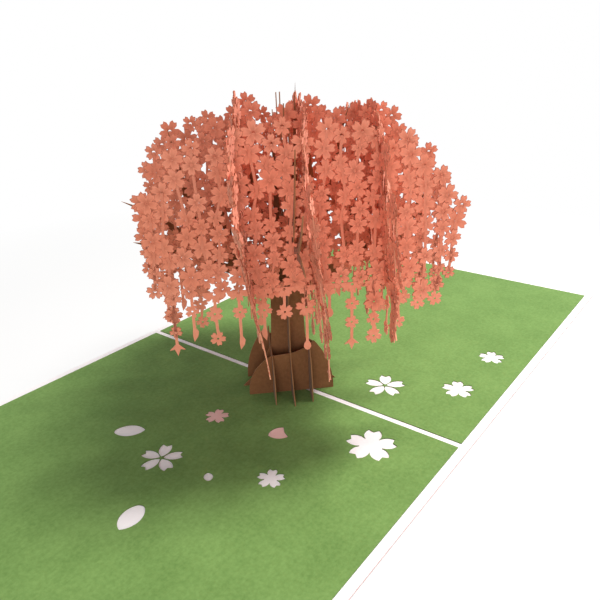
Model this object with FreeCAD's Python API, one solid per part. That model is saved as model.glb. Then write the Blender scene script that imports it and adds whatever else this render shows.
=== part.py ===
import FreeCAD, Part
import math
import os
import random

V = FreeCAD.Vector

# Card, lying open and flat: X runs along the fold, Y towards the back panel, Z up
card_side = 150.0
cover_thickness = 0.5
score_width = 0.9
score_depth = 0.2
sheet_margin = 3.0
fold_gap = 2.4
sheet_thickness = 0.3
inlay_thickness = 0.15
inlay_clearance = 0.08

# Tree: two sets of upright card slices that cross at right angles, 45 degrees from the fold
slice_thickness = 0.35
slot_play = 0.1
tree_offset = 3.5
root_pitch = 6.6
crown_pitch = 22.0
crown_left_pitch = 20.0
root_lap = 7.0
trunk_lap = 30.0
crown_lap = 72.0

# Trunk and roots
trunk_half_width = 6.1
trunk_height = 52.0
flare_half_width = 17.5
flare_height = 23.0
root_half_width = 15.5
root_low_height = 15.4
root_high_height = 20.0

# Crown: the line that the outermost blossoms' centres follow
crown_radius = 49.5
crown_shift = 3.5
plan_exponent = 3.0
crown_hem = 49.5
crown_waist = 64.0
crown_top = 100.0
crown_exponent = 2.6
hem_tuck = 2.5
hem_slot = 4.0
hem_rise = 8.0
hem_run = 13.0
border_dip = (-1.8, 0.4)
seeds_a = (1, 62, 3)
seeds_b = (21, 22, 53)

# Blossoms of the crown
border_pitch = 6.3
border_radius = 3.7
inner_pitch = 7.2
inner_radius = 3.7
inner_drift = 0.35
gap_share = 0.82
gap_view = 13.0
bridge_half = (0.3, 0.7)
hem_band = 3.4
eye_radius = 0.52
eye_share = 0.7
strand_pitch = 7.0
strand_radius = 2.75
strand_step = 5.6
stem_width = 0.9
strand_shortest = 6.6
strand_longest = 20.0

# Ranges of the seeded sizes, as shares of the size that they vary
border_sizes = (0.9, 1.12)
border_eyes = (0.9, 1.25)
border_rises = (0.0, 0.9)
hem_sizes = (0.85, 0.95)
hem_drops = (0.3, 1.4)
inner_sizes = (0.9, 1.1)
inner_eyes = (0.9, 1.2)
strand_sizes = (0.82, 1.0)
strand_spacing = (1.0, 1.15)
strand_end_sizes = (0.85, 1.05)

# Fine shape of the crown's lace
hole_bridge = 0.35
eye_sides = 5
petal_hole_turn = 11.0
petal_hole_near = 0.42
petal_hole_side = 0.74
border_arc = (200, -20)
border_seam = 0.15
hem_seam = 0.3
hem_gap = 0.08
hem_petal_low = 0.3
hem_mouth = 1.0
border_mouth = 0.2
strand_start = 0.75
strand_sway = 0.35
strand_first = 1.15
strand_gap = 0.06
strand_eye = 0.8
strand_end_arc = (262, -82)
strand_end_share = 0.4
slot_margin = 0.7
path_samples = 240
steepest_facing = 0.3

# Blossom outline: angles from the petal's middle in degrees, and shares of the blossom's radius
petal_angles = (-36, -25, -12, 0, 12, 25)
petal_reach = (0.46, 0.80, 1.00, 0.85, 1.00, 0.80)
petal_count = 5
petal_turn = 360.0 / petal_count

# Branches: start, bend, tip and width at the start, in mm from the tree's axis and up from the sheets
branches_b = (
    ((-2.5, 36.0), (-9.0, 41.5), (-20.0, 49.0), 6.6),
    ((-12.0, 44.5), (-27.0, 49.0), (-36.0, 55.5), 4.2),
    ((-32.0, 53.0), (-42.0, 56.5), (-50.5, 58.6), 3.2),
    ((-26.0, 50.5), (-37.0, 66.0), (-52.5, 72.6), 3.4),
    ((-38.2, 63.6), (-41.0, 69.0), (-45.0, 74.6), 2.0),
    ((-28.5, 52.0), (-31.0, 72.0), (-35.5, 95.0), 3.6),
    ((-18.0, 47.5), (-19.0, 64.0), (-23.0, 89.0), 3.6),
    ((-20.0, 62.0), (-26.0, 68.0), (-29.5, 80.0), 2.0),
    ((-1.8, 44.0), (-5.5, 62.0), (-12.0, 86.0), 5.8),
    ((-5.0, 60.0), (-9.0, 76.0), (-14.3, 98.5), 3.4),
    ((-3.6, 56.0), (-0.6, 76.0), (-3.4, 93.0), 2.6),
    ((-6.5, 64.0), (-11.5, 72.0), (-13.9, 83.0), 1.8),
    ((2.6, 42.0), (3.6, 66.0), (5.2, 107.0), 3.4),
    ((2.5, 34.0), (9.0, 40.0), (20.0, 48.0), 6.8),
    ((14.0, 42.5), (27.0, 50.0), (38.0, 60.0), 4.6),
    ((12.5, 41.0), (11.5, 68.0), (22.5, 100.0), 4.2),
    ((11.9, 66.0), (8.6, 78.0), (9.4, 92.0), 2.4),
    ((15.0, 82.0), (20.5, 86.0), (24.8, 92.0), 1.8),
    ((22.0, 47.0), (24.0, 64.0), (25.6, 86.0), 2.8),
    ((33.5, 56.0), (36.0, 70.0), (39.6, 92.5), 3.2),
    ((34.5, 58.0), (44.0, 61.0), (50.0, 71.0), 2.8),
    ((40.0, 59.5), (50.0, 63.5), (57.5, 66.2), 2.2),
)
branches_a = (
    ((-1.5, 50.0), (-6.0, 61.0), (-24.0, 61.0), 6.2),
    ((-15.0, 60.0), (-30.0, 60.5), (-42.0, 66.5), 3.8),
    ((-36.0, 62.5), (-44.0, 64.0), (-52.5, 62.0), 2.6),
    ((-37.0, 63.5), (-46.0, 70.0), (-50.5, 78.0), 2.4),
    ((-24.0, 60.5), (-33.0, 74.0), (-37.5, 92.5), 3.2),
    ((-15.0, 60.0), (-20.0, 74.0), (-25.0, 97.0), 3.4),
    ((-2.2, 50.0), (-4.5, 70.0), (-12.5, 102.0), 5.0),
    ((-5.0, 70.0), (-2.0, 84.0), (-1.8, 104.5), 2.6),
    ((1.5, 50.0), (6.0, 60.0), (24.0, 59.5), 6.2),
    ((15.0, 58.8), (30.0, 59.5), (43.0, 64.5), 3.8),
    ((37.0, 61.0), (46.0, 61.5), (53.0, 59.0), 2.6),
    ((38.0, 62.0), (46.0, 69.0), (51.0, 76.0), 2.4),
    ((26.0, 59.0), (33.0, 74.0), (36.0, 93.5), 3.2),
    ((15.0, 59.0), (20.0, 76.0), (27.0, 96.5), 3.4),
    ((2.4, 50.0), (4.5, 70.0), (10.5, 103.5), 4.4),
)
branch_steps = 7
branch_taper = 0.8

# Trunk's flare, and its neck and top as shares of its half width and height
flare_steps = 8
flare_power = 2.2
neck_width = 0.93
neck_height = 0.72
trunk_top_width = 0.62

# Root slice's top edge, as shares of its half width and of its low or high height
root_crest = 0.55
root_saddle = 0.1
root_shoulder = 0.45
root_shoulder_drop = 0.4
root_flank = (0.88, 0.55)
root_hollow = (0.24, 1.08)
root_far_flank = (0.86, 0.6)

# Cut-outs in the inner sheets: whole blossoms and blossoms of five loose petals, as x, y, radius, turn
front_blossoms = ((33.3, -46.9, 4.4, 48.0), (49.0, -15.9, 8.3, 42.0))
back_blossoms = ((57.6, 31.0, 5.9, 44.0), (58.5, 61.0, 5.2, 40.0))
front_loose_blossom = (-1.0, -59.4, 7.0, 49.7)
back_loose_blossom = (34.4, 18.1, 7.6, 46.0)
pink_blossom = (-2.9, -32.7, 4.4, 46.0)
pink_petal = (18.9, -31.1, 6.7, 54.0)
# Single petals with a rounded end: point x, y, length, width, direction from the point
round_petals = (
    (-16.9, -52.5, 10.4, 6.4, 220.0),
    (16.0, -55.9, 4.0, 2.8, -39.0),
    (13.6, -86.6, 10.2, 6.4, 105.0),
)
petal_gap = 0.5
# Half angles of a notched petal at its widest, and at its two tips
slim_petal = (28.0, 12.0)
wide_petal = (43.0, 25.0)
# Places along a petal, as shares of its length
petal_widest = 0.66
petal_notch = 0.84
round_widest = 0.58
round_end = 0.92
round_end_width = 0.26

sheet_top = cover_thickness + sheet_thickness
axis_point = V(tree_offset, 0, sheet_top)
slot_width = slice_thickness + slot_play
slot_depth = 3 * slice_thickness
cutter_height = 3 * sheet_thickness
full_turn = 360.0
quarter_turn = 90
turn_a = 135
turn_b = 45
planes_a = (root_pitch - crown_left_pitch, root_pitch, root_pitch + crown_pitch)
planes_b = (-root_pitch - crown_pitch, -root_pitch, crown_pitch - root_pitch)
root_planes = (-root_pitch, root_pitch)


def at(point):
    """A point of a slice's own drawing, across and up, in the XZ plane."""
    return V(point[0], 0, point[1])


def polygon_wire(points, place=at):
    corners = [place(point) for point in points]
    return Part.makePolygon(corners + corners[:1])


def flat_place(point):
    return V(point[0], point[1], 0)


def polar(centre, radius, degrees):
    angle = math.radians(degrees)
    return (centre[0] + radius * math.cos(angle), centre[1] + radius * math.sin(angle))


# Blossom outlines


def blossom_arc(centre, radius, turn, first, last):
    """Outline points of a notched five-petal blossom, from one angle down to a lower one."""
    points = []
    lowest = math.floor((last - turn) / petal_turn) - 1
    highest = math.ceil((first - turn) / petal_turn) + 1
    for petal in range(lowest, highest + 1):
        for offset, reach in zip(petal_angles, petal_reach):
            angle = turn + petal * petal_turn + offset
            if last <= angle < first:
                points.append((angle, polar(centre, radius * reach, angle)))
    points.sort(reverse=True)
    return [point for angle, point in points]


def eye(centre, radius):
    """The small round hole in a blossom's middle."""
    return [polar(centre, radius, full_turn * side / eye_sides) for side in range(eye_sides)]


def petal_gap_hole(centre, radius, degrees):
    """The narrow gap between two petals of a blossom that is part of a larger sheet."""
    return [
        polar(centre, petal_hole_near * radius, degrees),
        polar(centre, petal_hole_side * radius, degrees - petal_hole_turn),
        polar(centre, radius, degrees),
        polar(centre, petal_hole_side * radius, degrees + petal_hole_turn),
    ]


# Strands that hang from the crown's hem, drawn along the strand: across it, and out from its root

strand_ends = (
    (
        (-0.45, 0.0),
        (-1.05, 0.9),
        (-1.2, 1.9),
        (-0.7, 2.8),
        (0.0, 3.1),
        (0.7, 2.8),
        (1.2, 1.9),
        (1.05, 0.9),
        (0.45, 0.0),
    ),
    ((-0.45, 0.0), (-2.4, 1.9), (-0.9, 1.6), (0.0, 3.9), (0.9, 1.6), (2.4, 1.9), (0.45, 0.0)),
    ((-0.45, 0.0), (-1.2, 1.3), (-0.9, 2.8), (0.4, 4.6), (0.7, 2.5), (0.6, 1.0), (0.45, 0.0)),
)


def strand(rng, length, room, start):
    """Points of one strand, out along one side and back along the other, and its blossoms' eyes."""
    half_stem = stem_width / 2
    out_side = [(-half_stem, start)]
    back_side = [(half_stem, start)]
    eyes = []
    reach = strand_step * strand_first
    while reach < length - strand_step:
        radius = min(strand_radius * rng.uniform(*strand_sizes), room - strand_sway)
        middle = (rng.uniform(-strand_sway, strand_sway), reach)
        turn = rng.uniform(0, petal_turn)
        left_side = blossom_arc(middle, radius, turn, 3 * quarter_turn, quarter_turn)
        right_side = blossom_arc(middle, radius, turn, quarter_turn, -quarter_turn)
        left = [p for p in left_side if p[0] < -half_stem - strand_gap]
        right = [p for p in right_side if p[0] > half_stem + strand_gap]
        out_side += [(-half_stem, left[0][1])] + left + [(-half_stem, left[-1][1])]
        back_side += [(half_stem, right[-1][1])] + right[::-1] + [(half_stem, right[0][1])]
        eyes.append(eye(middle, eye_radius * strand_eye))
        reach += strand_step * rng.uniform(*strand_spacing)
    if rng.random() < strand_end_share:
        radius = min(strand_radius * rng.uniform(*strand_end_sizes), room)
        middle = (0.0, length)
        turn = rng.uniform(0, petal_turn)
        end = blossom_arc(middle, radius, turn, *strand_end_arc)
        eyes.append(eye(middle, eye_radius * strand_eye))
    else:
        shape = strand_ends[rng.randrange(len(strand_ends))]
        side = rng.choice((-1, 1))
        turned = shape if side > 0 else [(-p[0], p[1]) for p in reversed(shape)]
        end = [(p[0], p[1] + length) for p in turned]
    return out_side + end + back_side[::-1], eyes


# Crown outline


def reach_of(across, offset):
    """Distance from the crown's middle, measured so that its plan is a rounded square."""
    return (abs(across) ** plan_exponent + abs(offset) ** plan_exponent) ** (1 / plan_exponent)


def crown_height(across, offset):
    """Height of the crown's shell above a point of its plan."""
    share = min(reach_of(across, offset) / crown_radius, 1.0)
    return crown_waist + (crown_top - crown_waist) * (1 - share ** crown_exponent) ** (1 / crown_exponent)


def half_width(offset):
    return (crown_radius ** plan_exponent - abs(offset) ** plan_exponent) ** (1 / plan_exponent)


def border_path(offset):
    """The line of the border blossoms' centres: up one side, over the top and down the other side."""
    half = half_width(offset)
    path = [(-half + hem_tuck, crown_hem + hem_rise)]
    for step in range(path_samples + 1):
        across = -half * math.cos(math.pi * step / path_samples)
        path.append((across, crown_height(across, offset)))
    path.append((half - hem_tuck, crown_hem + hem_rise))
    return path


def cells_along(path, pitch, crossings):
    """Even stations along a path, with the place of each slot that cuts it, in the order of travel."""
    lengths = [0.0]
    for a, b in zip(path, path[1:]):
        lengths.append(lengths[-1] + math.dist(a, b))
    stops = []
    for number, (a, b) in enumerate(zip(path, path[1:])):
        for crossing in crossings:
            share = (crossing - a[0]) / (b[0] - a[0])
            if 0 <= share < 1:
                stops.append(lengths[number] + share * math.dist(a, b))
    margins = [0.0] + [slot_width * slot_margin] * len(stops) + [0.0]
    ends = [0.0] + stops + [lengths[-1]]
    stations = []
    segment = 0
    for number in range(len(ends) - 1):
        first = ends[number] + margins[number]
        last = ends[number + 1] - margins[number + 1]
        count = max(1, round((last - first) / pitch))
        for index in range(count):
            wanted = first + (last - first) * (index + 0.5) / count
            while lengths[segment + 1] < wanted:
                segment += 1
            a, b = path[segment], path[segment + 1]
            span = math.dist(a, b)
            share = (wanted - lengths[segment]) / span
            place = (a[0] + (b[0] - a[0]) * share, a[1] + (b[1] - a[1]) * share)
            travel = ((b[0] - a[0]) / span, (b[1] - a[1]) / span)
            stations.append((place, travel, (last - first) / count / 2, index == count - 1))
    return stations


def slot_points(crossing, mouth, lap, heading):
    """Outline points of one slot, from the edge that is met first."""
    near = crossing - heading * slot_width / 2
    far = crossing + heading * slot_width / 2
    return [(near, mouth), (near, lap), (far, lap), (far, mouth)]


def to_sheet(points, place, travel):
    """Turn points given along and out from the line of travel into the slice's own drawing."""
    out = (-travel[1], travel[0])
    return [
        (place[0] + p[0] * travel[0] + p[1] * out[0], place[1] + p[0] * travel[1] + p[1] * out[1])
        for p in points
    ]


def border_cell(rng, half_cell):
    """One blossom of the border, cut off where its neighbours begin, with its holes."""
    radius = border_radius * rng.uniform(*border_sizes)
    middle = (0.0, rng.uniform(*border_rises))
    turn = rng.uniform(0, petal_turn)
    dip = rng.uniform(*border_dip)
    arc = blossom_arc(middle, radius, turn, *border_arc)
    petals = [p for p in arc if abs(p[0]) < half_cell - border_seam and p[1] > dip]
    gaps = [turn + (petal + 0.5) * petal_turn for petal in range(petal_count)]
    inward = min(gaps, key=lambda angle: abs(angle % full_turn - 3 * quarter_turn))
    holes = [eye(middle, eye_radius * rng.uniform(*border_eyes))]
    if rng.random() < eye_share:
        holes.append(petal_gap_hole(middle, radius, inward))
    return [(-half_cell, dip)] + petals, holes


def hem_cell(rng, half_cell, lift):
    """One blossom of the hem with the strand that hangs from it, longer where the hem lies higher."""
    room = half_cell - hem_seam
    radius = min(border_radius * rng.uniform(*hem_sizes), room)
    turn = rng.uniform(0, petal_turn)
    gap = stem_width / 2 + hem_gap
    arc = blossom_arc((0, 0), radius, turn, 2 * quarter_turn, 0)
    petals = [p for p in arc if abs(p[0]) > gap and p[1] > hem_petal_low]
    before = [p for p in petals if p[0] < 0]
    after = [p for p in petals if p[0] > 0]
    length = rng.uniform(strand_shortest, strand_longest) + lift
    line, eyes = strand(rng, length, room, strand_start * radius)
    rise = -rng.uniform(*hem_drops)
    return [(-half_cell, rise)] + before + line + after, [eye((0, 0), eye_radius)] + eyes


def crown_lines(offset, slots, hem_slots, seed):
    """Outline and holes of merged blossoms with hanging strands; slots are crossings with their heights."""
    rng = random.Random(seed)
    path = border_path(offset)
    turn = half_width(offset) - hem_run
    hem = [path[-1], (turn, crown_hem), (-turn, crown_hem), path[0]]
    clear = sorted(slots)
    outline = []
    holes = []
    passed = -crown_radius * 2
    waiting = [] if hem_slots else clear[:]
    for place, travel, half_cell, closes in cells_along(path, border_pitch, waiting):
        points, cell_holes = border_cell(rng, half_cell)
        ahead = waiting[0] if waiting else crown_radius * 2
        drawn = to_sheet(points, place, travel)
        outline += [p for p in drawn if passed + slot_width < p[0] < ahead - slot_width]
        holes += [to_sheet(hole, place, travel) for hole in cell_holes]
        if closes and waiting:
            passed = waiting.pop(0)
            mouth = crown_height(passed, offset) - border_mouth
            outline += slot_points(passed, mouth, slots[passed], 1)
    waiting = clear[::-1] if hem_slots else []
    for place, travel, half_cell, closes in cells_along(hem, strand_pitch, clear[::-1]):
        points, cell_holes = hem_cell(rng, half_cell * abs(travel[0]), place[1] - crown_hem)
        outline += to_sheet(points, place, (-1, 0))
        holes += [to_sheet(hole, place, (-1, 0)) for hole in cell_holes]
        if closes and waiting:
            crossing = waiting.pop(0)
            outline += slot_points(crossing, crown_hem + hem_mouth, slots[crossing], -1)
    inner = [hole for hole in inner_holes(rng, path) if clear_of(hole, clear)]
    holes = well_apart([hole for hole in holes if clear_of(hole, clear)], [], outline)
    return outline, holes + well_apart(inner, holes, outline)


def well_apart(holes, others, outline):
    """The holes that keep a bridge of card towards other holes and the outline."""
    kept = []
    circles = [ring_of(hole) for hole in others]
    for hole in holes:
        middle, radius = ring_of(hole)
        free = all(math.dist(middle, centre) > radius + reach + hole_bridge for centre, reach in circles)
        if free and encloses(outline, middle) and distance_to(outline, middle) > radius + hole_bridge:
            kept.append(hole)
            if not others:
                circles.append((middle, radius))
    return kept


def ring_of(hole):
    """Middle and radius of the circle round a hole."""
    middle = [sum(point[axis] for point in hole) / len(hole) for axis in (0, 1)]
    return middle, max(math.dist(middle, point) for point in hole)


def encloses(outline, point):
    """Whether a point lies inside a closed outline."""
    crossings = 0
    for a, b in zip(outline, outline[1:] + outline[:1]):
        if (a[1] > point[1]) != (b[1] > point[1]):
            share = (point[1] - a[1]) / (b[1] - a[1])
            crossings += a[0] + (b[0] - a[0]) * share > point[0]
    return crossings % 2 == 1


def distance_to(outline, point):
    """Shortest distance from a point to a closed outline."""
    nearest = 2 * crown_top
    for a, b in zip(outline, outline[1:] + outline[:1]):
        if max(abs(a[0] - point[0]), abs(a[1] - point[1])) < nearest + strand_longest:
            run = (b[0] - a[0], b[1] - a[1])
            size = run[0] ** 2 + run[1] ** 2
            share = ((point[0] - a[0]) * run[0] + (point[1] - a[1]) * run[1]) / size if size else 0.0
            share = min(1.0, max(0.0, share))
            nearest = min(nearest, math.dist(point, (a[0] + run[0] * share, a[1] + run[1] * share)))
    return nearest


def crown_sheet(offset, slots, hem_slots, seed):
    outline, holes = crown_lines(offset, slots, hem_slots, seed)
    return thicken(Part.Face([polygon_wire(outline)] + [polygon_wire(hole) for hole in holes]))


def inner_holes(rng, path):
    """Eyes of the blossoms inside the sheet, on a staggered grid, and the gaps between each three of them."""
    row_step = inner_pitch * math.sqrt(3) / 2
    half = path[-1][0]
    columns = math.ceil(half / inner_pitch) + 1
    rows = math.ceil((crown_top - crown_hem) / row_step)
    shift = rng.uniform(-0.5, 0.5) * inner_pitch
    blossoms = {}
    for row in range(rows):
        for column in range(-columns, columns + 1):
            x = shift + (column + 0.5 * (row % 2)) * inner_pitch + rng.uniform(-1, 1) * inner_drift
            z = crown_hem + hem_band + row * row_step + rng.uniform(-1, 1) * inner_drift
            radius = inner_radius * rng.uniform(*inner_sizes)
            blossoms[row, column] = ((x, z), radius, rng.uniform(0, petal_turn))
    holes = []
    for (row, column), blossom in blossoms.items():
        if rng.random() < eye_share:
            holes.append(eye(blossom[0], eye_radius * rng.uniform(*inner_eyes)))
        lean = row % 2
        for corners in (
            ((row, column), (row, column + 1), (row + 1, column + lean)),
            ((row, column), (row + 1, column + lean), (row + 1, column + lean - 1)),
        ):
            if rng.random() < gap_share and all(corner in blossoms for corner in corners):
                holes.append(gap_between(rng, [blossoms[corner] for corner in corners]))
    return holes


def petal_edge(blossom, angle):
    """Distance from a blossom's middle to its outline in one direction."""
    turn = blossom[2]
    offset = (angle - turn + petal_turn / 2) % petal_turn - petal_turn / 2
    angles = petal_angles + (petal_turn / 2,)
    reaches = petal_reach + petal_reach[:1]
    for first, last, near, far in zip(angles, angles[1:], reaches, reaches[1:]):
        if first <= offset <= last:
            return blossom[1] * (near + (far - near) * (offset - first) / (last - first))
    return blossom[1]


def gap_between(rng, three):
    """The opening that three neighbouring blossoms leave between their petals."""
    centre = [sum(blossom[0][axis] for blossom in three) / len(three) for axis in (0, 1)]
    limit = inner_pitch / math.sqrt(12) - rng.uniform(*bridge_half)
    sides = [math.atan2(centre[1] - b[0][1], centre[0] - b[0][0]) for b in three]
    corners = []
    for blossom, side in zip(three, sides):
        for lean in (-gap_view, gap_view):
            facing = math.degrees(side) + lean
            point = polar(blossom[0], petal_edge(blossom, facing), facing)
            angle = math.atan2(point[1] - centre[1], point[0] - centre[0])
            room = min(limit / max(math.cos(angle - other), steepest_facing) for other in sides)
            corners.append((angle, min(math.dist(point, centre), room)))
    corners.sort()
    return [(centre[0] + r * math.cos(angle), centre[1] + r * math.sin(angle)) for angle, r in corners]


def clear_of(hole, crossings):
    low = min(point[0] for point in hole) - slot_width
    high = max(point[0] for point in hole) + slot_width
    return not any(low < crossing < high for crossing in crossings)


# Branches, trunk and roots


def branch_face(start, bend, tip, width):
    """A curved branch that tapers to a point."""
    left = []
    right = []
    for step in range(branch_steps):
        t = step / branch_steps
        weights = ((1 - t) ** 2, 2 * t * (1 - t), t ** 2)
        centre = [sum(w * p[axis] for w, p in zip(weights, (start, bend, tip))) for axis in (0, 1)]
        slope = [(1 - t) * (bend[axis] - start[axis]) + t * (tip[axis] - bend[axis]) for axis in (0, 1)]
        size = math.hypot(*slope)
        half = width / 2 * (1 - t) ** branch_taper
        left.append((centre[0] - slope[1] / size * half, centre[1] + slope[0] / size * half))
        right.append((centre[0] + slope[1] / size * half, centre[1] - slope[0] / size * half))
    return Part.Face(polygon_wire(right + [tip] + left[::-1]))


def thicken(face):
    return face.extrude(V(0, slice_thickness, 0))


def trunk_sheet(branches):
    """Trunk that flares out to its roots and carries tapered branches."""
    side = []
    for step in range(flare_steps + 1):
        t = step / flare_steps
        reach = trunk_half_width + (flare_half_width - trunk_half_width) * (1 - t) ** flare_power
        side.append((reach, flare_height * t))
    side.append((trunk_half_width * neck_width, trunk_height * neck_height))
    side.append((trunk_half_width * trunk_top_width, trunk_height))
    outline = side + [(-point[0], point[1]) for point in reversed(side)]
    trunk = thicken(Part.Face(polygon_wire(outline)))
    limbs = [thicken(branch_face(*branch)) for branch in branches]
    return trunk.multiFuse(limbs).removeSplitter()


def root_sheet(side):
    """Low root slice: a mound with a hollow top edge, higher at one side."""
    reach = side * root_half_width
    foot = at((reach, 0))
    far_foot = at((-reach, 0))
    crest = at((reach * root_crest, root_high_height))
    saddle = at((-reach * root_saddle, root_low_height))
    shoulder = at((-reach * root_shoulder, root_low_height - root_shoulder_drop))
    flank = at((reach * root_flank[0], root_high_height * root_flank[1]))
    hollow = at((reach * root_hollow[0], root_low_height * root_hollow[1]))
    far_flank = at((-reach * root_far_flank[0], root_low_height * root_far_flank[1]))
    edges = [
        Part.LineSegment(far_foot, foot).toShape(),
        Part.Arc(foot, flank, crest).toShape(),
        Part.Arc(crest, hollow, saddle).toShape(),
        Part.LineSegment(saddle, shoulder).toShape(),
        Part.Arc(shoulder, far_flank, far_foot).toShape(),
    ]
    return thicken(Part.Face(Part.Wire(edges)))


# Slots


def slot_box(across, low, high):
    corner = V(across - slot_width / 2, -slice_thickness, low)
    return Part.makeBox(slot_width, slot_depth, high - low, corner)


def span_at(sheet, across):
    """Lowest and highest point of a trunk slice on an upright line, above its roots."""
    strip = sheet.common(slot_box(across, flare_height + slot_width, 2 * crown_top))
    return strip.BoundBox.ZMin, strip.BoundBox.ZMax


def cut_slots(sheet, slots):
    """Cut the crossing slots and keep the sheet without the crumbs that they free."""
    tools = [slot_box(*slot) for slot in slots]
    return max(sheet.cut(tools).Solids, key=lambda piece: piece.Volume)


def slot_up(across, height):
    """Slot that is open at the bottom."""
    return (across, -slice_thickness, height)


def slot_down(across, height):
    """Slot that is open at the top."""
    return (across, height, 2 * crown_top)


def stand_a(sheet, offset):
    """Stand a sheet in the set that runs from front right to back left."""
    standing = sheet.translated(V(0, -slice_thickness / 2, 0))
    standing.rotate(V(0, 0, 0), V(0, 0, 1), turn_a)
    return standing.translated(axis_point + V(1, 1, 0).normalize() * offset)


def stand_b(sheet, offset):
    """Stand a sheet in the set that runs from front left to back right."""
    standing = sheet.translated(V(0, -slice_thickness / 2, 0))
    standing.rotate(V(0, 0, 0), V(0, 0, 1), turn_b)
    return standing.translated(axis_point + V(-1, 1, 0).normalize() * offset)


# Card and cut-outs


def card_cover():
    body = Part.makeBox(card_side, 2 * card_side, cover_thickness, V(-card_side / 2, -card_side, 0))
    groove = Part.Face(
        Part.makePolygon(
            [
                V(-card_side, -score_width / 2, cover_thickness),
                V(-card_side, score_width / 2, cover_thickness),
                V(-card_side, 0, cover_thickness - score_depth),
                V(-card_side, -score_width / 2, cover_thickness),
            ]
        )
    )
    return body.cut(groove.extrude(V(2 * card_side, 0, 0)))


def blossom_wire(x, y, radius, turn):
    """Five notched petals that meet, with rounded sides."""
    edges = []
    reaches = petal_reach + petal_reach[:1]
    angles = petal_angles + (petal_turn / 2,)
    for petal in range(petal_count):
        middle = turn + petal * petal_turn
        start, side, horn, notch, far_horn, far_side, end = [
            flat_place(polar((x, y), radius * reach, middle + angle)) for reach, angle in zip(reaches, angles)
        ]
        edges.append(Part.Arc(start, side, horn).toShape())
        edges.append(Part.LineSegment(horn, notch).toShape())
        edges.append(Part.LineSegment(notch, far_horn).toShape())
        edges.append(Part.Arc(far_horn, far_side, end).toShape())
    return Part.Wire(edges)


def notched_petal_wire(x, y, length, direction, half_angles):
    """One petal with its point at x, y, rounded sides and a notched end."""
    widest, tips = half_angles
    point = flat_place((x, y))
    horns = [polar((x, y), length, direction + side * tips) for side in (-1, 1)]
    sides = [polar((x, y), length * petal_widest, direction + side * widest) for side in (-1, 1)]
    notch = flat_place(polar((x, y), length * petal_notch, direction))
    edges = [
        Part.Arc(point, flat_place(sides[0]), flat_place(horns[0])).toShape(),
        Part.LineSegment(flat_place(horns[0]), notch).toShape(),
        Part.LineSegment(notch, flat_place(horns[1])).toShape(),
        Part.Arc(flat_place(horns[1]), flat_place(sides[1]), point).toShape(),
    ]
    return Part.Wire(edges)


def loose_blossom_wires(x, y, radius, turn):
    """Five petals round one centre that don't touch."""
    wires = []
    for petal in range(petal_count):
        direction = turn + petal * petal_turn
        base = polar((x, y), petal_gap, direction)
        wires.append(notched_petal_wire(*base, radius - petal_gap, direction, slim_petal))
    return wires


def round_petal_wire(x, y, length, width, direction):
    """A petal with a point at one end and a round end."""
    point = flat_place((x, y))
    middle = polar((x, y), length * round_widest, direction)
    end = polar((x, y), length * round_end, direction)
    turns = (direction - quarter_turn, direction + quarter_turn)
    sides = [flat_place(polar(middle, width / 2, turn)) for turn in turns]
    ends = [flat_place(polar(end, width * round_end_width, turn)) for turn in turns]
    tip = flat_place(polar((x, y), length, direction))
    edges = [
        Part.Arc(point, sides[0], ends[0]).toShape(),
        Part.Arc(ends[0], tip, ends[1]).toShape(),
        Part.Arc(ends[1], sides[1], point).toShape(),
    ]
    return Part.Wire(edges)


def inner_sheet(low, high, wires):
    """One inner sheet between two Y values, with its cut-outs."""
    half = card_side / 2 - sheet_margin
    base = cover_thickness
    sheet = Part.makeBox(2 * half, high - low, sheet_thickness, V(-half, low, base))
    cutters = []
    for wire in wires:
        cutter = Part.Face(wire).extrude(V(0, 0, cutter_height))
        cutters.append(cutter.translated(V(0, 0, base - sheet_thickness)))
    return sheet.cut(cutters)


def inlay(wire):
    """A scrap of pink paper that lies on the cover in a cut-out."""
    return Part.Face(wire).extrude(V(0, 0, inlay_thickness)).translated(V(0, 0, cover_thickness))


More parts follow.
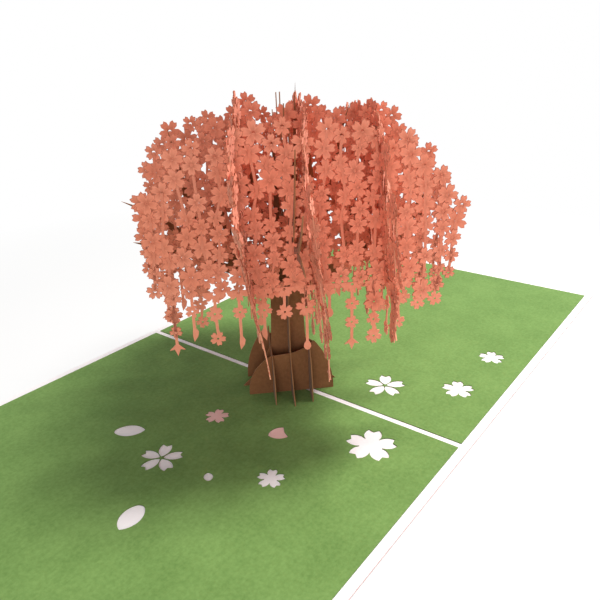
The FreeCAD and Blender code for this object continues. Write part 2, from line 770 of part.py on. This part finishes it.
def build():
    parts = {"cover": card_cover()}

    pink_blossom_wire = blossom_wire(*pink_blossom)
    pink_petal_wire = notched_petal_wire(*pink_petal, wide_petal)
    front_wires = [blossom_wire(*b) for b in front_blossoms]
    front_wires += loose_blossom_wires(*front_loose_blossom)
    front_wires += [round_petal_wire(*p) for p in round_petals]
    front_wires += [pink_blossom_wire, pink_petal_wire]
    back_wires = [blossom_wire(*b) for b in back_blossoms]
    back_wires += loose_blossom_wires(*back_loose_blossom)
    far = card_side - sheet_margin
    parts["front_green_sheet"] = inner_sheet(-far, -fold_gap / 2, front_wires)
    parts["back_green_sheet"] = inner_sheet(fold_gap / 2, far, back_wires)
    x, y, radius, turn = pink_blossom
    parts["pink_blossom_inlay"] = inlay(blossom_wire(x, y, radius - inlay_clearance, turn))
    x, y, length, turn = pink_petal
    start = polar((x, y), inlay_clearance, turn)
    petal_inlay = notched_petal_wire(*start, length - 2 * inlay_clearance, turn, wide_petal)
    parts["pink_petal_inlay"] = inlay(petal_inlay)

    trunk_a = trunk_sheet(branches_a)
    trunk_b = trunk_sheet(branches_b)
    root_crossings = [0.0] + list(root_planes)
    for number, offset in enumerate(root_planes, 1):
        side = 1 if offset < 0 else -1
        slots_up = [slot_up(c, root_lap) for c in root_crossings]
        slots_down = [slot_down(c, root_lap) for c in root_crossings]
        parts[f"root_slice_a{number}"] = stand_a(cut_slots(root_sheet(side), slots_up), offset)
        parts[f"root_slice_b{number}"] = stand_b(cut_slots(root_sheet(side), slots_down), offset)

    for number, offset in enumerate(planes_a, 1):
        slots = dict.fromkeys(planes_b, crown_lap)
        slots[0.0] = max(span_at(trunk_b, offset)[1], crown_hem + hem_slot)
        sheet = crown_sheet(offset - crown_shift, slots, True, seeds_a[number - 1])
        parts[f"blossom_slice_a{number}"] = stand_a(sheet, offset)
    for number, offset in enumerate(planes_b, 1):
        slots = dict.fromkeys([crossing - crown_shift for crossing in planes_a], crown_lap)
        slots[-crown_shift] = span_at(trunk_a, offset)[0]
        sheet = crown_sheet(offset, slots, False, seeds_b[number - 1])
        parts[f"blossom_slice_b{number}"] = stand_b(sheet.translated(V(crown_shift, 0, 0)), offset)

    slots_a = [slot_up(c, root_lap) for c in root_planes] + [slot_up(0.0, trunk_lap)]
    slots_b = [(c, root_lap, flare_height + slot_width) for c in root_planes] + [slot_down(0.0, trunk_lap)]
    parts["trunk_slice_a"] = stand_a(cut_slots(trunk_a, slots_a), 0.0)
    parts["trunk_slice_b"] = stand_b(cut_slots(trunk_b, slots_b), 0.0)
    return parts


os.makedirs("parts", exist_ok=True)
for name, shape in build().items():
    solid = shape.Solids[0]
    solid.exportStep(f"parts/{name}.step")
    print(name, len(shape.Solids), round(solid.Volume, 2), len(solid.Faces))
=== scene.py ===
import math
import random

import bmesh
import bpy
from mathutils import Matrix, Vector
from mathutils.bvhtree import BVHTree


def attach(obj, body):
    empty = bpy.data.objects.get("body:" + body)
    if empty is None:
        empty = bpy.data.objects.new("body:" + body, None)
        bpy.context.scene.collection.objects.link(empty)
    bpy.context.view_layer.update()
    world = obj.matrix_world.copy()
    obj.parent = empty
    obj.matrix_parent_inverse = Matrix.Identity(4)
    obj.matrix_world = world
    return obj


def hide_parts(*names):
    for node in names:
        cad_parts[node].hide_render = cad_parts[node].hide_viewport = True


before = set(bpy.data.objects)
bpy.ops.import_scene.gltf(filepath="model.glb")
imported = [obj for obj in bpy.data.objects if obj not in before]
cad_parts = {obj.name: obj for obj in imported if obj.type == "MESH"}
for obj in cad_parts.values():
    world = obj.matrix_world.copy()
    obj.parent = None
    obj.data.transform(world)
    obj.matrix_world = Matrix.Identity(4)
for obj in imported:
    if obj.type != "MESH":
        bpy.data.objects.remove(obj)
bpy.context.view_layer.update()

MM = 0.001

# Camera, from the card's corners and fold in the photograph
CAMERA_PLACE = Vector((130.60, -154.77, 119.98)) * MM
CAMERA_RIGHT = Vector((0.7942, 0.6070, -0.0263))
CAMERA_DOWN = Vector((0.2199, -0.3276, -0.9189))
CAMERA_FORWARD = Vector((-0.5664, 0.7240, -0.3937))
CAMERA_LENS = 36.49
SENSOR_WIDTH = 36.0
CAMERA_NEAR = 5 * MM
CAMERA_FAR = 20.0

# Directions in which the slices of each set face
SLICE_A_FACE = Vector((1, 1, 0)).normalized()
SLICE_B_FACE = Vector((-1, 1, 0)).normalized()
UP = Vector((0, 0, 1))

# Screen colour to shader colour: the curve's straight foot, then its power
FULL_CHANNEL = 255
FOOT_END = 0.04045
FOOT_SLOPE = 12.92
CURVE_SHIFT = 0.055
CURVE_POWER = 2.4


def linear(red, green, blue):
    """A colour as seen on screen, 0 to 255, in the numbers that a shader takes."""
    out = []
    for channel in (red, green, blue):
        share = channel / FULL_CHANNEL
        if share <= FOOT_END:
            out.append(share / FOOT_SLOPE)
        else:
            out.append(((share + CURVE_SHIFT) / (1 + CURVE_SHIFT)) ** CURVE_POWER)
    return (*out, 1.0)


# Sockets of the Mix node when it mixes colours: its factor, first and second colour, and its result
COLOUR_MIX_INPUTS = (0, 6, 7)
COLOUR_MIX_OUTPUT = 2

# Effects that several papers share. Scales are repeats in a metre, and pairs are a range's low and high end
CLOUD_SCALE = 60.0
CLOUD_DETAIL = 4.0
SPECK_SCALE = 900.0
SPECK_DETAIL = 4.0
SPECK_ROUGHNESS = 0.7
MOTTLE_LOW = 0.35
MOTTLE_HIGH = 0.65
FINE_SCALE = 2600.0
FINE_DETAIL = 2.0
FINE_ROUGHNESS = 0.6
FIBRE_SCALE = 700.0
FIBRE_DETAIL = 5.0
FIBRE_ROUGHNESS = 0.65
FIBRE_STRETCH = (3.0, 0.45, 1.0)
FIBRE_TURN = (0.0, 0.0, 0.6)
FIBRE_RANGE = (0.4, 0.7)
FIBRE_SHADES = (-0.08, 0.12)
SPECK_SHINE = (-0.06, 0.08)
FIBRE_HEIGHT = 0.6
FINE_HEIGHT = 0.4
EDGE_FACING = (0.35, 0.75)
BURN_SCALE = 320.0
BURN_DETAIL = 2.0
BURN_RANGE = (0.3, 0.7)
BURN_SHADES = (0.55, 1.0)
# Narrowing and strength of the rim darkening: a burn of the cut, deepened as painted shade
RIM_POWER = 1.8
RIM_AMOUNT = 0.8
TONE_AMOUNT = 0.4
GRAIN_DEPTH = 0.00008
PAPER_SHINE = 0.25
PAPER_SHEEN = 0.1


def new_group(name, inputs, outputs):
    """An empty shared effect with its named inputs and outputs."""
    group = bpy.data.node_groups.new(name, "ShaderNodeTree")
    for socket_name, kind, value in inputs:
        socket = group.interface.new_socket(socket_name, in_out="INPUT", socket_type=kind)
        if value is not None:
            socket.default_value = value
    for socket_name, kind in outputs:
        group.interface.new_socket(socket_name, in_out="OUTPUT", socket_type=kind)
    return group, group.nodes.new("NodeGroupInput"), group.nodes.new("NodeGroupOutput")


def noise(tree, vector, scale, detail, roughness=0.55):
    """Cloudy values from 0 to 1 over a piece."""
    node = tree.nodes.new("ShaderNodeTexNoise")
    node.inputs["Scale"].default_value = scale
    node.inputs["Detail"].default_value = detail
    node.inputs["Roughness"].default_value = roughness
    tree.links.new(vector, node.inputs["Vector"])
    return node.outputs["Fac"]


def ranged(tree, value, low, high, to_low, to_high):
    """A value moved from one range to another, and held inside it."""
    node = tree.nodes.new("ShaderNodeMapRange")
    node.inputs["From Min"].default_value = low
    node.inputs["From Max"].default_value = high
    node.inputs["To Min"].default_value = to_low
    node.inputs["To Max"].default_value = to_high
    tree.links.new(value, node.inputs["Value"])
    return node.outputs["Result"]


def math_node(tree, operation, first, second=None):
    """One step of arithmetic on values or sockets."""
    node = tree.nodes.new("ShaderNodeMath")
    node.operation = operation
    for socket, value in zip(node.inputs, (first, second)):
        if isinstance(value, (int, float)):
            socket.default_value = value
        elif value is not None:
            tree.links.new(value, socket)
    return node.outputs[0]


def mixed(tree, factor, first, second):
    """Colour between two colours."""
    node = tree.nodes.new("ShaderNodeMix")
    node.data_type = "RGBA"
    sockets = [node.inputs[number] for number in COLOUR_MIX_INPUTS]
    for socket, value in zip(sockets, (factor, first, second)):
        if isinstance(value, (int, float, tuple)):
            socket.default_value = value
        else:
            tree.links.new(value, socket)
    return node.outputs[COLOUR_MIX_OUTPUT]


def paper_grain_group():
    """Fine mottling and pressed fibres of uncoated paper."""
    group, given, result = new_group(
        "paper_grain",
        [
            ("Vector", "NodeSocketVector", None),
            ("Light", "NodeSocketColor", (0.8, 0.8, 0.8, 1)),
            ("Dark", "NodeSocketColor", (0.6, 0.6, 0.6, 1)),
            ("Cloud Amount", "NodeSocketFloat", 0.4),
            ("Speck Amount", "NodeSocketFloat", 0.3),
            ("Roughness", "NodeSocketFloat", 0.85),
        ],
        [("Colour", "NodeSocketColor"), ("Roughness", "NodeSocketFloat"), ("Height", "NodeSocketFloat")],
    )
    vector = given.outputs["Vector"]
    clouds = noise(group, vector, CLOUD_SCALE, CLOUD_DETAIL)
    cloud = ranged(group, clouds, MOTTLE_LOW, MOTTLE_HIGH, 0.0, 1.0)
    specks = noise(group, vector, SPECK_SCALE, SPECK_DETAIL, SPECK_ROUGHNESS)
    speck = ranged(group, specks, MOTTLE_LOW, MOTTLE_HIGH, 0.0, 1.0)
    fine = noise(group, vector, FINE_SCALE, FINE_DETAIL, FINE_ROUGHNESS)
    stretch = group.nodes.new("ShaderNodeMapping")
    stretch.inputs["Scale"].default_value = FIBRE_STRETCH
    stretch.inputs["Rotation"].default_value = FIBRE_TURN
    group.links.new(vector, stretch.inputs["Vector"])
    fibre = noise(group, stretch.outputs["Vector"], FIBRE_SCALE, FIBRE_DETAIL, FIBRE_ROUGHNESS)
    amount = math_node(
        group,
        "ADD",
        math_node(group, "MULTIPLY", cloud, given.outputs["Cloud Amount"]),
        math_node(group, "MULTIPLY", speck, given.outputs["Speck Amount"]),
    )
    amount = math_node(group, "ADD", amount, ranged(group, fibre, *FIBRE_RANGE, *FIBRE_SHADES))
    colour = mixed(group, amount, given.outputs["Light"], given.outputs["Dark"])
    group.links.new(colour, result.inputs["Colour"])
    rough = math_node(group, "ADD", given.outputs["Roughness"], ranged(group, speck, 0.0, 1.0, *SPECK_SHINE))
    group.links.new(rough, result.inputs["Roughness"])
    height = math_node(
        group,
        "ADD",
        math_node(group, "MULTIPLY", fibre, FIBRE_HEIGHT),
        math_node(group, "MULTIPLY", fine, FINE_HEIGHT),
    )
    group.links.new(height, result.inputs["Height"])
    return group


def cut_edge_group():
    """Darker colour on the narrow sides that a cutting beam has passed along."""
    group, given, result = new_group(
        "cut_edge",
        [
            ("Vector", "NodeSocketVector", None),
            ("Colour", "NodeSocketColor", (0.8, 0.8, 0.8, 1)),
            ("Edge Colour", "NodeSocketColor", (0.2, 0.1, 0.05, 1)),
            ("Face Direction", "NodeSocketVector", (0, 0, 1)),
            ("Amount", "NodeSocketFloat", 0.6),
        ],
        [("Colour", "NodeSocketColor"), ("Mask", "NodeSocketFloat")],
    )
    geometry = group.nodes.new("ShaderNodeNewGeometry")
    dot = group.nodes.new("ShaderNodeVectorMath")
    dot.operation = "DOT_PRODUCT"
    group.links.new(geometry.outputs["True Normal"], dot.inputs[0])
    group.links.new(given.outputs["Face Direction"], dot.inputs[1])
    facing = math_node(group, "ABSOLUTE", dot.outputs["Value"])
    side = ranged(group, facing, *EDGE_FACING, 1.0, 0.0)
    burns = noise(group, given.outputs["Vector"], BURN_SCALE, BURN_DETAIL)
    uneven = ranged(group, burns, *BURN_RANGE, *BURN_SHADES)
    mask = math_node(group, "MULTIPLY", math_node(group, "MULTIPLY", side, uneven), given.outputs["Amount"])
    colour = mixed(group, mask, given.outputs["Colour"], given.outputs["Edge Colour"])
    group.links.new(colour, result.inputs["Colour"])
    group.links.new(mask, result.inputs["Mask"])
    return group


PAPER_GRAIN = paper_grain_group()
CUT_EDGE = cut_edge_group()


def placed_group(tree, group, vector, values):
    """A shared effect inside one material, with that material's own values."""
    node = tree.nodes.new("ShaderNodeGroup")
    node.node_tree = group
    tree.links.new(vector, node.inputs["Vector"])
    for name, value in values.items():
        if isinstance(value, bpy.types.NodeSocket):
            tree.links.new(value, node.inputs[name])
        else:
            node.inputs[name].default_value = value
    return node


def paper_material(name, light, dark, edge, burn_and_shade, face, cloud, speck, roughness, edge_amount, bump):
    """Uncoated paper with grain, its own colour on the cut edges, and a rim darkened by burn and painted
    shade where a piece has one.
    """
    material = bpy.data.materials.new(name)
    material.use_nodes = True
    tree = material.node_tree
    shader = tree.nodes["Principled BSDF"]
    place = tree.nodes.new("ShaderNodeTexCoord").outputs["Object"]
    grain = placed_group(
        tree,
        PAPER_GRAIN,
        place,
        {
            "Light": light,
            "Dark": dark,
            "Cloud Amount": cloud,
            "Speck Amount": speck,
            "Roughness": roughness,
        },
    )
    edge_node = placed_group(
        tree,
        CUT_EDGE,
        place,
        {
            "Colour": grain.outputs["Colour"],
            "Edge Colour": edge,
            "Face Direction": face,
            "Amount": edge_amount,
        },
    )
    rim = tree.nodes.new("ShaderNodeAttribute")
    rim.attribute_name = "rim"
    narrowed = math_node(tree, "POWER", rim.outputs["Fac"], RIM_POWER)
    burn_and_shade_share = math_node(tree, "MULTIPLY", narrowed, RIM_AMOUNT)
    # Painted shade: the rim darkening, partly a burn of the cut, outlines each blossom as the shade between
    # overlapping ones would
    outlined = mixed(tree, burn_and_shade_share, edge_node.outputs["Colour"], burn_and_shade)
    tone = tree.nodes.new("ShaderNodeAttribute")
    tone.attribute_name = "tone"
    deeper = math_node(tree, "MULTIPLY", tone.outputs["Fac"], TONE_AMOUNT)
    tree.links.new(mixed(tree, deeper, outlined, dark), shader.inputs["Base Color"])
    tree.links.new(grain.outputs["Roughness"], shader.inputs["Roughness"])
    bump_node = tree.nodes.new("ShaderNodeBump")
    bump_node.inputs["Strength"].default_value = bump
    bump_node.inputs["Distance"].default_value = GRAIN_DEPTH
    tree.links.new(grain.outputs["Height"], bump_node.inputs["Height"])
    tree.links.new(bump_node.outputs["Normal"], shader.inputs["Normal"])
    shader.inputs["Specular IOR Level"].default_value = PAPER_SHINE
    shader.inputs["Sheen Weight"].default_value = PAPER_SHEEN
    return material


def dress(node_name, material):
    """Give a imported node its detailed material."""
    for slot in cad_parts[node_name].material_slots:
        slot.material = material


GREEN = paper_material(
    "green_paper_grain",
    light=linear(124, 159, 87),
    dark=linear(97, 132, 65),
    edge=linear(74, 88, 44),
    burn_and_shade=linear(74, 88, 44),
    face=UP,
    cloud=0.35,
    speck=0.5,
    roughness=0.88,
    edge_amount=0.8,
    bump=0.5,
)
WHITE = paper_material(
    "white_card_grain",
    light=linear(254, 250, 252),
    dark=linear(250, 244, 247),
    # Dark pink on the cover's narrow sides, which draws its thin edge as a line against the white floor
    edge=linear(206, 146, 138),
    burn_and_shade=linear(206, 146, 138),
    face=UP,
    cloud=0.3,
    speck=0.3,
    roughness=0.8,
    edge_amount=0.9,
    bump=0.25,
)
# Pale pink sheets set under the two cut-outs that lie where the tree's shadow falls
INLAY = paper_material(
    "pink_inlay_grain",
    light=linear(255, 210, 204),
    dark=linear(253, 199, 192),
    edge=linear(214, 146, 134),
    burn_and_shade=linear(214, 146, 134),
    face=UP,
    cloud=0.3,
    speck=0.4,
    roughness=0.85,
    edge_amount=0.5,
    bump=0.4,
)
for node_name in ("front_green_sheet", "back_green_sheet"):
    dress(node_name, GREEN)
dress("cover", WHITE)
for node_name in ("pink_blossom_inlay", "pink_petal_inlay"):
    dress(node_name, INLAY)

# Crown slices as lace: single blossoms on hanging stems, over the form of the solid slice

# One blossom: angles from a petal's middle in degrees, and reaches as shares of its radius
PETALS = 5
PETAL_TURNS = (-36, -25, -12, 0, 12, 25)
PETAL_REACH = (0.46, 0.80, 1.00, 0.85, 1.00, 0.80)
FULL_TURN = 360
PETAL_STEP = FULL_TURN // PETALS
EYE_RADIUS = 0.5 * MM
RIM_WIDTH = 0.35 * MM
# How dark the rings of a blossom and the stems are, from 0 to 1: a burn of the cut, deepened as painted
# shade between overlapping blossoms
RING_BURN_AND_SHADE = (("eye", 0.8), ("inner", 0.0), ("outer", 1.0))
STEM_BURN_AND_SHADE = 0.5
CARD = 0.35 * MM
STEM_WIDTH = 0.8 * MM
STEM_REACH = 14.0 * MM
# Chains of small blossoms that hang below a slice's two ends
CHAIN_BAND = 13.0 * MM
CHAIN_LINKS = (2, 4)
CHAIN_PITCH = 5.6 * MM
CHAIN_RADII = (1.9 * MM, 2.9 * MM)
CHAIN_DEPTH = 12.0 * MM
# How the near ends of the first set bend aside, between two distances from the middle and two heights
LEAN_START = 4 * MM
LEAN_END = 46 * MM
LEAN_ASIDE = 4.5 * MM
LEAN_BACK = 3.0 * MM
LEAN_HIGH = 90 * MM
LEAN_LOW = 38 * MM
# How the strands of the bent ends swing back and reach down
STRAND_TIP = 28 * MM
STRAND_TOP = 60 * MM
STRAND_STRETCH = 0.18
STRAND_SHARE = {"a1": 1.25, "a2": 0.3, "a3": -0.4}
# Columns of blossoms that fill a slice, with their drift, their tilt in degrees and the share left open
COLUMN_PITCH = {"a": 4.3 * MM, "b": 5.1 * MM}
ROW_PITCH = 5.7 * MM
BLOSSOM_RADII = (2.7 * MM, 3.9 * MM)
DRIFT = 1.3 * MM
TILT = {"a": 20.0, "b": 5.0}
OPEN_SHARE = 0.07
LACE_FLOOR = 46 * MM
# The solid slice is kept below this height, so that its strands stay on
HEM_TOP = 51 * MM
# A blossom is kept where the solid slice lies this near to spots a radian apart round its middle
FORM_REACH = 1.0 * MM
FORM_SHARE = 0.75
FORM_SPOTS = 6


def add_ring_faces(shape, first, second):
    """Join two rings of as many corners with a band of faces."""
    for index, corner in enumerate(first):
        follower = (index + 1) % len(first)
        shape.faces.new((corner, first[follower], second[follower], second[index]))


def add_blossom(shape, centre, axes, radius, turn, tone):
    """One five-petalled blossom cut from card, with a small eye, its rim and eye darkened by burn and
    painted shade.
    """
    across, up, face = axes
    rim_layer = shape.verts.layers.float["rim"]
    tone_layer = shape.verts.layers.float["tone"]
    rings = {}
    for side in (-1, 1):
        # Each ring carries its darkening, partly burn and partly painted shade
        for ring, burn_and_shade in RING_BURN_AND_SHADE:
            rings[side, ring] = []
            for petal in range(PETALS):
                for angle, reach in zip(PETAL_TURNS, PETAL_REACH):
                    heading = math.radians(turn + petal * FULL_TURN / PETALS + angle)
                    edge = radius * reach
                    distance = {"eye": EYE_RADIUS, "inner": edge - RIM_WIDTH, "outer": edge}[ring]
                    flat = across * math.cos(heading) + up * math.sin(heading)
                    corner = shape.verts.new(centre + flat * distance + face * (side * CARD / 2))
                    corner[rim_layer] = burn_and_shade
                    corner[tone_layer] = tone
                    rings[side, ring].append(corner)
        add_ring_faces(shape, rings[side, "eye"], rings[side, "inner"])
        add_ring_faces(shape, rings[side, "inner"], rings[side, "outer"])
    for ring in ("eye", "outer"):
        add_ring_faces(shape, rings[-1, ring], rings[1, ring])


def add_stem(shape, foot, top, across, face):
    """A short length of stem between two points."""
    rim_layer = shape.verts.layers.float["rim"]
    corners = {}
    for end, place in (("foot", foot), ("top", top)):
        for side in (-1, 1):
            for hand in (-1, 1):
                corner = shape.verts.new(place + across * (hand * STEM_WIDTH / 2) + face * (side * CARD / 2))
                # The whole stem is darkened, partly burn and partly painted shade
                corner[rim_layer] = STEM_BURN_AND_SHADE
                corners[end, side, hand] = corner
    ring = ((-1, -1), (1, -1), (1, 1), (-1, 1))
    add_ring_faces(shape, [corners["foot", *c] for c in ring], [corners["top", *c] for c in ring])


def step_up(value, low, high):
    """Smooth step from 0 at low to 1 at high."""
    share = min(max((value - low) / (high - low), 0), 1)
    return share * share * (3 - 2 * share)


def lean_near_end(shape, along, face, middle, strand_share):
    """Bend a slice's near end aside, as the paper stands, with its strands swung back and drawn down."""
    for corner in shape.verts:
        share = step_up(middle - corner.co.dot(along), LEAN_START, LEAN_END)
        height = corner.co.z
        aside = LEAN_ASIDE * step_up(height, LEAN_LOW, LEAN_HIGH)
        back = LEAN_BACK * (1 - step_up(height, STRAND_TIP, STRAND_TOP))
        drop = STRAND_STRETCH * max(STRAND_TOP - height, 0)
        corner.co += face * (share * (strand_share * back - aside)) - UP * (share * strand_share * drop)


def blossom_lace(label, along, face, material):
    """Replace a crown slice with blossoms and stems that fill the same outline."""
    rng = random.Random(f"lace {label}")
    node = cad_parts[f"blossom_slice_{label}"]
    corners = [node.matrix_world @ corner.co for corner in node.data.vertices]
    form = BVHTree.FromPolygons(corners, [polygon.vertices[:] for polygon in node.data.polygons])
    plane = sum(corner.dot(face) for corner in corners) / len(corners)
    left = min(corner.dot(along) for corner in corners)
    right = max(corner.dot(along) for corner in corners)
    summit = max(corner.z for corner in corners)

    def at(across, height):
        return along * across + face * plane + UP * height

    def held(across, height):
        return form.find_nearest(at(across, height), FORM_REACH)[0] is not None

    shape = bmesh.new()
    shape.from_mesh(node.data)
    shape.verts.layers.float.new("rim")
    shape.verts.layers.float.new("tone")
    shape.transform(node.matrix_world)
    everything = shape.verts[:] + shape.edges[:] + shape.faces[:]
    bmesh.ops.bisect_plane(
        shape, geom=everything, plane_co=(0, 0, HEM_TOP), plane_no=(0, 0, 1), clear_outer=True
    )
    tilt = math.radians(TILT[label[0]])
    column = 0
    across = left
    while across < right:
        kept = []
        height = LACE_FLOOR - ROW_PITCH / 2 + (column % 2) * ROW_PITCH / 2
        while height < summit:
            radius = rng.uniform(*BLOSSOM_RADII)
            s = across + rng.uniform(-DRIFT, DRIFT)
            z = height + rng.uniform(-DRIFT, DRIFT)
            turn = rng.uniform(0, PETAL_STEP)
            tone = rng.random()
            twist = Matrix.Rotation(rng.uniform(-tilt, tilt), 3, UP)
            nod = Matrix.Rotation(rng.uniform(-tilt, tilt) / 2, 3, along)
            swing = twist @ nod
            wide = FORM_SHARE * radius
            around = [(s + wide * math.cos(k), z + wide * math.sin(k)) for k in range(FORM_SPOTS)]
            if rng.random() > OPEN_SHARE and all(held(*spot) for spot in around):
                lift = face * rng.uniform(-CARD / 2, CARD / 2)
                axes = (swing @ along, swing @ UP, swing @ face)
                add_blossom(shape, at(s, z) + lift, axes, radius, turn, tone)
                kept.append((s, z))
            height += ROW_PITCH
        if kept and not left + CHAIN_BAND < across < right - CHAIN_BAND:
            s, z = kept[0]
            for _ in range(rng.randint(*CHAIN_LINKS)):
                s += rng.uniform(-DRIFT, DRIFT) / 2
                z -= CHAIN_PITCH
                radius = rng.uniform(*CHAIN_RADII)
                if z > LACE_FLOOR - CHAIN_DEPTH:
                    turn = rng.uniform(0, PETAL_STEP)
                    add_blossom(shape, at(s, z), (along, UP, face), radius, turn, rng.random())
                    kept.insert(0, (s, z))
        for lower, upper in zip(kept, kept[1:]):
            if upper[1] - lower[1] < STEM_REACH:
                add_stem(shape, at(*lower), at(*upper), along, face)
        across += COLUMN_PITCH[label[0]]
        column += 1
    if label.startswith("a"):
        lean_near_end(shape, along, face, (left + right) / 2, STRAND_SHARE[label])
    bmesh.ops.recalc_face_normals(shape, faces=shape.faces)
    mesh = bpy.data.meshes.new(f"blossom_lace_{label}")
    shape.to_mesh(mesh)
    shape.free()
    mesh.materials.clear()
    mesh.materials.append(material)
    piece = bpy.data.objects.new(f"blossom_lace_{label}", mesh)
    bpy.context.scene.collection.objects.link(piece)
    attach(piece, "root")
    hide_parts(f"blossom_slice_{label}")


for set_name, face in (("a", SLICE_A_FACE), ("b", SLICE_B_FACE)):
    blossom = paper_material(
        f"blossom_card_{set_name}_grain",
        light=linear(250, 164, 136),
        dark=linear(238, 138, 108),
        edge=linear(236, 168, 134),
        # Rim colour: a dark burn, deepened as painted shade between blossoms
        burn_and_shade=linear(150, 64, 38),
        face=face,
        cloud=0.4,
        speck=0.35,
        roughness=0.85,
        edge_amount=0.75,
        bump=0.4,
    )
    trunk = paper_material(
        f"trunk_card_{set_name}_grain",
        light=linear(148, 100, 64),
        dark=linear(118, 77, 49),
        edge=linear(176, 128, 88),
        burn_and_shade=linear(66, 40, 25),
        face=face,
        cloud=0.4,
        speck=0.4,
        roughness=0.85,
        edge_amount=0.7,
        bump=0.5,
    )
    for number in (1, 2, 3):
        dress(f"blossom_slice_{set_name}{number}", blossom)
        along = SLICE_B_FACE if set_name == "a" else SLICE_A_FACE
        blossom_lace(f"{set_name}{number}", along, face, blossom)
    for number in (1, 2):
        dress(f"root_slice_{set_name}{number}", trunk)
    dress(f"trunk_slice_{set_name}", trunk)


# Floor and background


FLOOR_COLOUR = (0.9, 0.9, 0.9, 1)
FLOOR_ROUGHNESS = 0.9
FLOOR_SIZE = 4.0
FLOOR_DROP = 0.2 * MM
# Share of plain white near the card, and the distances between which it grows to all white
FLOOR_GLOW = 0.75
FLOOR_SHADOW_REACH = 0.17
FLOOR_WHITE_REACH = 0.3
PLAIN_WHITE = (1, 1, 1, 1)


def floor_material():
    """Pale table top: plain white to the camera, with the object's shadow kept."""
    material = bpy.data.materials.new("pale_table_top")
    material.use_nodes = True
    tree = material.node_tree
    shader = tree.nodes["Principled BSDF"]
    shader.inputs["Base Color"].default_value = FLOOR_COLOUR
    shader.inputs["Roughness"].default_value = FLOOR_ROUGHNESS
    glow = tree.nodes.new("ShaderNodeEmission")
    glow.inputs["Color"].default_value = PLAIN_WHITE
    glow.inputs["Strength"].default_value = 1.0
    rays = tree.nodes.new("ShaderNodeLightPath")
    place = tree.nodes.new("ShaderNodeTexCoord").outputs["Object"]
    reach = tree.nodes.new("ShaderNodeVectorMath")
    reach.operation = "LENGTH"
    tree.links.new(place, reach.inputs[0])
    away = ranged(tree, reach.outputs["Value"], FLOOR_SHADOW_REACH, FLOOR_WHITE_REACH, FLOOR_GLOW, 1.0)
    share = math_node(tree, "MULTIPLY", rays.outputs["Is Camera Ray"], away)
    mix = tree.nodes.new("ShaderNodeMixShader")
    tree.links.new(share, mix.inputs["Fac"])
    tree.links.new(shader.outputs["BSDF"], mix.inputs[1])
    tree.links.new(glow.outputs["Emission"], mix.inputs[2])
    tree.links.new(mix.outputs["Shader"], tree.nodes["Material Output"].inputs["Surface"])
    return material


def table_top():
    """The wide flat top that the card lies on."""
    shape = bmesh.new()
    bmesh.ops.create_grid(shape, x_segments=1, y_segments=1, size=FLOOR_SIZE)
    mesh = bpy.data.meshes.new("table_top")
    shape.to_mesh(mesh)
    shape.free()
    floor = bpy.data.objects.new("table_top", mesh)
    floor.location.z = -FLOOR_DROP
    bpy.context.scene.collection.objects.link(floor)
    mesh.materials.append(floor_material())


table_top()


def studio_world(strength):
    """Even light from all round, and plain white where the camera sees past the table."""
    world = bpy.data.worlds.new("studio")
    bpy.context.scene.world = world
    world.use_nodes = True
    tree = world.node_tree
    ambient = tree.nodes["Background"]
    ambient.inputs["Color"].default_value = PLAIN_WHITE
    ambient.inputs["Strength"].default_value = strength
    seen = tree.nodes.new("ShaderNodeBackground")
    seen.inputs["Color"].default_value = PLAIN_WHITE
    seen.inputs["Strength"].default_value = 1.0
    rays = tree.nodes.new("ShaderNodeLightPath")
    mix = tree.nodes.new("ShaderNodeMixShader")
    tree.links.new(rays.outputs["Is Camera Ray"], mix.inputs["Fac"])
    tree.links.new(ambient.outputs["Background"], mix.inputs[1])
    tree.links.new(seen.outputs["Background"], mix.inputs[2])
    tree.links.new(mix.outputs["Shader"], tree.nodes["World Output"].inputs["Surface"])


def soft_lamp(name, place, target, size, power, colour):
    """A round lamp that points at a place on the object."""
    data = bpy.data.lights.new(name, "AREA")
    data.shape = "DISK"
    data.size = size
    data.energy = power
    data.color = colour
    lamp = bpy.data.objects.new(name, data)
    lamp.location = place
    lamp.rotation_euler = (Vector(target) - Vector(place)).to_track_quat("-Z", "Y").to_euler()
    bpy.context.scene.collection.objects.link(lamp)


studio_world(strength=0.32)
soft_lamp(
    "key_lamp",
    place=(0.15, 0.20, 0.50),
    target=(0.03, 0.03, 0.0),
    size=0.17,
    power=3.4,
    colour=(1.0, 0.98, 0.94),
)
soft_lamp(
    "fill_lamp",
    place=(0.5, -0.75, 0.25),
    target=(0.0, 0.0, 0.06),
    size=0.5,
    power=2.6,
    colour=(1.0, 0.99, 0.98),
)


def photo_camera():
    """The camera that sees the card as the photograph does."""
    data = bpy.data.cameras.new("photo_camera")
    data.sensor_fit = "HORIZONTAL"
    data.sensor_width = SENSOR_WIDTH
    data.lens = CAMERA_LENS
    data.clip_start = CAMERA_NEAR
    data.clip_end = CAMERA_FAR
    camera = bpy.data.objects.new("photo_camera", data)
    turn = Matrix((CAMERA_RIGHT, -CAMERA_DOWN, -CAMERA_FORWARD)).transposed().to_4x4()
    camera.matrix_world = Matrix.Translation(CAMERA_PLACE) @ turn
    bpy.context.scene.collection.objects.link(camera)
    bpy.context.scene.camera = camera


photo_camera()
bpy.context.scene.view_settings.view_transform = "Standard"
